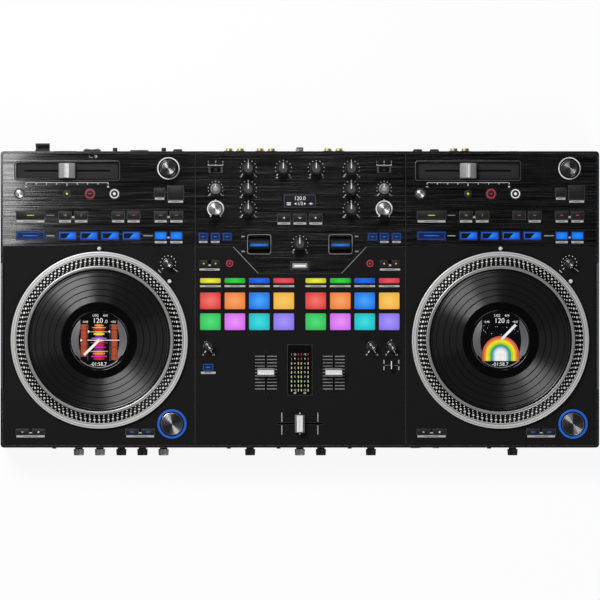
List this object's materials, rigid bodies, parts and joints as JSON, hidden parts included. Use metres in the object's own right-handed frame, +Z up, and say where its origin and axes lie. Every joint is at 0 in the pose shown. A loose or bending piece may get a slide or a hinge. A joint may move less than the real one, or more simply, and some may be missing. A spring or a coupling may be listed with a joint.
{
  "type": "dj controller",
  "caption": "Wide flat DJ controller: a motorised platter with a slip record on each deck, and a mixer with pads, knobs and faders between them.",
  "frame": {"origin": "on the floor under the middle of the case, feet on z = 0", "axes": "+X to the operator's right along the case's length, +Y to the rear panel, +Z up"},
  "size_m": [0.738, 0.3854, 0.0736],
  "materials": {
    "case_black": "fine satin grain",
    "brushed_plate": "dark anodised, brushed left to right",
    "matt_panel": "fine matt black paint",
    "platter_metal": "turned and clear anodised, dotted flank",
    "record_black": "pressed grooves round a plain label",
    "knob_black": "satin with a white pointer",
    "knob_grey": "satin grey",
    "bright_metal": "turned, bright",
    "cap_silver": "silver paint with a dark line",
    "key_black": "satin tops with lit edges",
    "pad_rubber": "translucent silicone, each pad lit in its own colour",
    "glass_black": "glossy dark window over a lit picture",
    "socket_black": "moulded black",
    "board_green": "solder mask",
    "can_steel": "plated steel"
  },
  "bodies": {
    "chassis": {"bottom_case": "case_black", "left_deck_plate": "brushed_plate", "right_deck_plate": "brushed_plate", "left_platter_panel": "matt_panel", "right_platter_panel": "matt_panel", "mixer_fascia": "brushed_plate", "mixer_panel": "matt_panel", "left_jog_display": "glass_black", "right_jog_display": "glass_black", "left_platter_motor": "can_steel", "right_platter_motor": "can_steel", "main_board": "board_green", "power_supply": "can_steel", "rear_sockets": "socket_black", "front_controls": "knob_black", "cable_hook": "socket_black"},
    "booth_level_knob": {"booth_level_knob": "knob_black"},
    "crossfader_cap": {"crossfader_cap": "cap_silver"},
    "effect_depth_knob": {"effect_depth_knob": "knob_black"},
    "effect_keys": {"effect_keys": "key_black"},
    "left_bend_keys": {"left_bend_keys": "key_black"},
    "left_channel_cap": {"left_channel_cap": "cap_silver"},
    "left_deck_keys": {"left_deck_keys": "key_black"},
    "left_effect_paddle": {"left_effect_paddle": "knob_black"},
    "left_filter_knob": {"left_filter_knob": "bright_metal"},
    "left_high_knob": {"left_high_knob": "knob_black"},
    "left_input_switch": {"left_input_switch": "knob_black"},
    "left_low_knob": {"left_low_knob": "knob_black"},
    "left_mid_knob": {"left_mid_knob": "knob_black"},
    "left_pads": {"left_pads": "pad_rubber"},
    "left_platter": {"left_platter": "platter_metal"},
    "left_record": {"left_record": "record_black"},
    "left_selector_knob": {"left_selector_knob": "bright_metal"},
    "left_start_button": {"left_start_button": "bright_metal"},
    "left_stop_time_knob": {"left_stop_time_knob": "bright_metal"},
    "left_tempo_cap": {"left_tempo_cap": "cap_silver"},
    "left_trim_knob": {"left_trim_knob": "knob_grey"},
    "master_level_knob": {"master_level_knob": "knob_black"},
    "phones_cue_slider": {"phones_cue_slider": "knob_black"},
    "phones_level_knob": {"phones_level_knob": "bright_metal"},
    "phones_mix_knob": {"phones_mix_knob": "bright_metal"},
    "power_switch": {"power_switch": "knob_grey"},
    "right_bend_keys": {"right_bend_keys": "key_black"},
    "right_channel_cap": {"right_channel_cap": "cap_silver"},
    "right_deck_keys": {"right_deck_keys": "key_black"},
    "right_effect_paddle": {"right_effect_paddle": "knob_black"},
    "right_filter_knob": {"right_filter_knob": "bright_metal"},
    "right_high_knob": {"right_high_knob": "knob_black"},
    "right_input_switch": {"right_input_switch": "knob_black"},
    "right_low_knob": {"right_low_knob": "knob_black"},
    "right_mid_knob": {"right_mid_knob": "knob_black"},
    "right_pads": {"right_pads": "pad_rubber"},
    "right_platter": {"right_platter": "platter_metal"},
    "right_record": {"right_record": "record_black"},
    "right_selector_knob": {"right_selector_knob": "bright_metal"},
    "right_start_button": {"right_start_button": "bright_metal"},
    "right_stop_time_knob": {"right_stop_time_knob": "bright_metal"},
    "right_tempo_cap": {"right_tempo_cap": "cap_silver"},
    "right_trim_knob": {"right_trim_knob": "knob_grey"},
    "sampler_volume_knob": {"sampler_volume_knob": "bright_metal"}
  },
  "joints": [
    {"name": "left_platter_turn", "type": "hinge", "parent": "chassis", "child": "left_platter", "pos_m": [-0.24715, -0.05018, 0.0555], "axis": [0, 0, 1], "continuous": true},
    {"name": "left_record_turn", "type": "hinge", "parent": "left_platter", "child": "left_record", "pos_m": [-0.24715, -0.05018, 0.0642], "axis": [0, 0, 1], "continuous": true},
    {"name": "left_tempo_cap_slide", "type": "slide", "parent": "chassis", "child": "left_tempo_cap", "axis": [1, 0, 0], "range_m": [-0.05, 0.05]},
    {"name": "left_channel_cap_slide", "type": "slide", "parent": "chassis", "child": "left_channel_cap", "axis": [0, 1, 0], "range_m": [-0.0225, 0.0225]},
    {"name": "left_effect_paddle_turn", "type": "hinge", "parent": "chassis", "child": "left_effect_paddle", "pos_m": [-0.0501, 0.06792, 0.0488], "axis": [1, 0, 0], "range_deg": [-15, 15], "stiffness_Nm_per_rad": 0.25},
    {"name": "left_start_button_slide", "type": "slide", "parent": "chassis", "child": "left_start_button", "axis": [0, 0, -1], "range_m": [0, 0.001], "stiffness_N_per_m": 500, "springref_m": -0.003},
    {"name": "left_deck_keys_slide", "type": "slide", "parent": "chassis", "child": "left_deck_keys", "axis": [0, 0, -1], "range_m": [0, 0.0005], "stiffness_N_per_m": 600, "springref_m": -0.003},
    {"name": "left_bend_keys_slide", "type": "slide", "parent": "chassis", "child": "left_bend_keys", "axis": [0, 0, -1], "range_m": [0, 0.0005], "stiffness_N_per_m": 400, "springref_m": -0.002},
    {"name": "left_pads_slide", "type": "slide", "parent": "chassis", "child": "left_pads", "axis": [0, 0, -1], "range_m": [0, 0.0008], "stiffness_N_per_m": 600, "springref_m": -0.003},
    {"name": "left_input_switch_slide", "type": "slide", "parent": "chassis", "child": "left_input_switch", "axis": [1, 0, 0], "range_m": [-0.002, 0.002]},
    {"name": "left_selector_knob_turn", "type": "hinge", "parent": "chassis", "child": "left_selector_knob", "pos_m": [-0.16195, 0.16155, 0.054], "axis": [0, 0, 1], "continuous": true},
    {"name": "left_high_knob_turn", "type": "hinge", "parent": "chassis", "child": "left_high_knob", "pos_m": [-0.06347, 0.16121, 0.054], "axis": [0, 0, 1], "range_deg": [-150, 150]},
    {"name": "left_mid_knob_turn", "type": "hinge", "parent": "chassis", "child": "left_mid_knob", "pos_m": [-0.06347, 0.13599, 0.054], "axis": [0, 0, 1], "range_deg": [-150, 150]},
    {"name": "left_low_knob_turn", "type": "hinge", "parent": "chassis", "child": "left_low_knob", "pos_m": [-0.06347, 0.11124, 0.054], "axis": [0, 0, 1], "range_deg": [-150, 150]},
    {"name": "left_trim_knob_turn", "type": "hinge", "parent": "chassis", "child": "left_trim_knob", "pos_m": [-0.10384, 0.13645, 0.054], "axis": [0, 0, 1], "range_deg": [-150, 150]},
    {"name": "left_filter_knob_turn", "type": "hinge", "parent": "chassis", "child": "left_filter_knob", "pos_m": [-0.10384, 0.1117, 0.054], "axis": [0, 0, 1], "range_deg": [-150, 150]},
    {"name": "left_stop_time_knob_turn", "type": "hinge", "parent": "chassis", "child": "left_stop_time_knob", "pos_m": [-0.16242, 0.04469, 0.054], "axis": [0, 0, 1], "range_deg": [-150, 150]},
    {"name": "right_platter_turn", "type": "hinge", "parent": "chassis", "child": "right_platter", "pos_m": [0.24715, -0.05018, 0.0555], "axis": [0, 0, 1], "continuous": true},
    {"name": "right_record_turn", "type": "hinge", "parent": "right_platter", "child": "right_record", "pos_m": [0.24715, -0.05018, 0.0642], "axis": [0, 0, 1], "continuous": true},
    {"name": "right_tempo_cap_slide", "type": "slide", "parent": "chassis", "child": "right_tempo_cap", "axis": [1, 0, 0], "range_m": [-0.05, 0.05]},
    {"name": "right_channel_cap_slide", "type": "slide", "parent": "chassis", "child": "right_channel_cap", "axis": [0, 1, 0], "range_m": [-0.0225, 0.0225]},
    {"name": "right_effect_paddle_turn", "type": "hinge", "parent": "chassis", "child": "right_effect_paddle", "pos_m": [0.0501, 0.06792, 0.0488], "axis": [1, 0, 0], "range_deg": [-15, 15], "stiffness_Nm_per_rad": 0.25},
    {"name": "right_start_button_slide", "type": "slide", "parent": "chassis", "child": "right_start_button", "axis": [0, 0, -1], "range_m": [0, 0.001], "stiffness_N_per_m": 500, "springref_m": -0.003},
    {"name": "right_deck_keys_slide", "type": "slide", "parent": "chassis", "child": "right_deck_keys", "axis": [0, 0, -1], "range_m": [0, 0.0005], "stiffness_N_per_m": 600, "springref_m": -0.003},
    {"name": "right_bend_keys_slide", "type": "slide", "parent": "chassis", "child": "right_bend_keys", "axis": [0, 0, -1], "range_m": [0, 0.0005], "stiffness_N_per_m": 400, "springref_m": -0.002},
    {"name": "right_pads_slide", "type": "slide", "parent": "chassis", "child": "right_pads", "axis": [0, 0, -1], "range_m": [0, 0.0008], "stiffness_N_per_m": 600, "springref_m": -0.003},
    {"name": "right_input_switch_slide", "type": "slide", "parent": "chassis", "child": "right_input_switch", "axis": [1, 0, 0], "range_m": [-0.002, 0.002]},
    {"name": "right_selector_knob_turn", "type": "hinge", "parent": "chassis", "child": "right_selector_knob", "pos_m": [0.33235, 0.16155, 0.054], "axis": [0, 0, 1], "continuous": true},
    {"name": "right_high_knob_turn", "type": "hinge", "parent": "chassis", "child": "right_high_knob", "pos_m": [0.06347, 0.16121, 0.054], "axis": [0, 0, 1], "range_deg": [-150, 150]},
    {"name": "right_mid_knob_turn", "type": "hinge", "parent": "chassis", "child": "right_mid_knob", "pos_m": [0.06347, 0.13599, 0.054], "axis": [0, 0, 1], "range_deg": [-150, 150]},
    {"name": "right_low_knob_turn", "type": "hinge", "parent": "chassis", "child": "right_low_knob", "pos_m": [0.06347, 0.11124, 0.054], "axis": [0, 0, 1], "range_deg": [-150, 150]},
    {"name": "right_trim_knob_turn", "type": "hinge", "parent": "chassis", "child": "right_trim_knob", "pos_m": [0.10384, 0.13645, 0.054], "axis": [0, 0, 1], "range_deg": [-150, 150]},
    {"name": "right_filter_knob_turn", "type": "hinge", "parent": "chassis", "child": "right_filter_knob", "pos_m": [0.10384, 0.1117, 0.054], "axis": [0, 0, 1], "range_deg": [-150, 150]},
    {"name": "right_stop_time_knob_turn", "type": "hinge", "parent": "chassis", "child": "right_stop_time_knob", "pos_m": [0.33188, 0.04469, 0.054], "axis": [0, 0, 1], "range_deg": [-150, 150]},
    {"name": "booth_level_knob_turn", "type": "hinge", "parent": "chassis", "child": "booth_level_knob", "pos_m": [-0.02025, 0.16121, 0.054], "axis": [0, 0, 1], "range_deg": [-150, 150]},
    {"name": "master_level_knob_turn", "type": "hinge", "parent": "chassis", "child": "master_level_knob", "pos_m": [0.02025, 0.16121, 0.054], "axis": [0, 0, 1], "range_deg": [-150, 150]},
    {"name": "effect_depth_knob_turn", "type": "hinge", "parent": "chassis", "child": "effect_depth_knob", "pos_m": [0, 0.06849, 0.054], "axis": [0, 0, 1], "range_deg": [-150, 150]},
    {"name": "sampler_volume_knob_turn", "type": "hinge", "parent": "chassis", "child": "sampler_volume_knob", "pos_m": [-0.1128, -0.0575, 0.054], "axis": [0, 0, 1], "range_deg": [-150, 150]},
    {"name": "phones_level_knob_turn", "type": "hinge", "parent": "chassis", "child": "phones_level_knob", "pos_m": [0.08865, -0.0575, 0.054], "axis": [0, 0, 1], "range_deg": [-150, 150]},
    {"name": "phones_mix_knob_turn", "type": "hinge", "parent": "chassis", "child": "phones_mix_knob", "pos_m": [0.1128, -0.0575, 0.054], "axis": [0, 0, 1], "range_deg": [-150, 150]},
    {"name": "crossfader_cap_slide", "type": "slide", "parent": "chassis", "child": "crossfader_cap", "axis": [1, 0, 0], "range_m": [-0.0225, 0.0225]},
    {"name": "phones_cue_slider_slide", "type": "slide", "parent": "chassis", "child": "phones_cue_slider", "axis": [1, 0, 0], "range_m": [-0.005, 0.005]},
    {"name": "effect_keys_slide", "type": "slide", "parent": "chassis", "child": "effect_keys", "axis": [0, 0, -1], "range_m": [0, 0.0005], "stiffness_N_per_m": 600, "springref_m": -0.002},
    {"name": "power_switch_turn", "type": "hinge", "parent": "chassis", "child": "power_switch", "pos_m": [-0.25682, 0.1802, 0.028], "axis": [0, 0, 1], "range_deg": [-8, 8]}
  ]
}
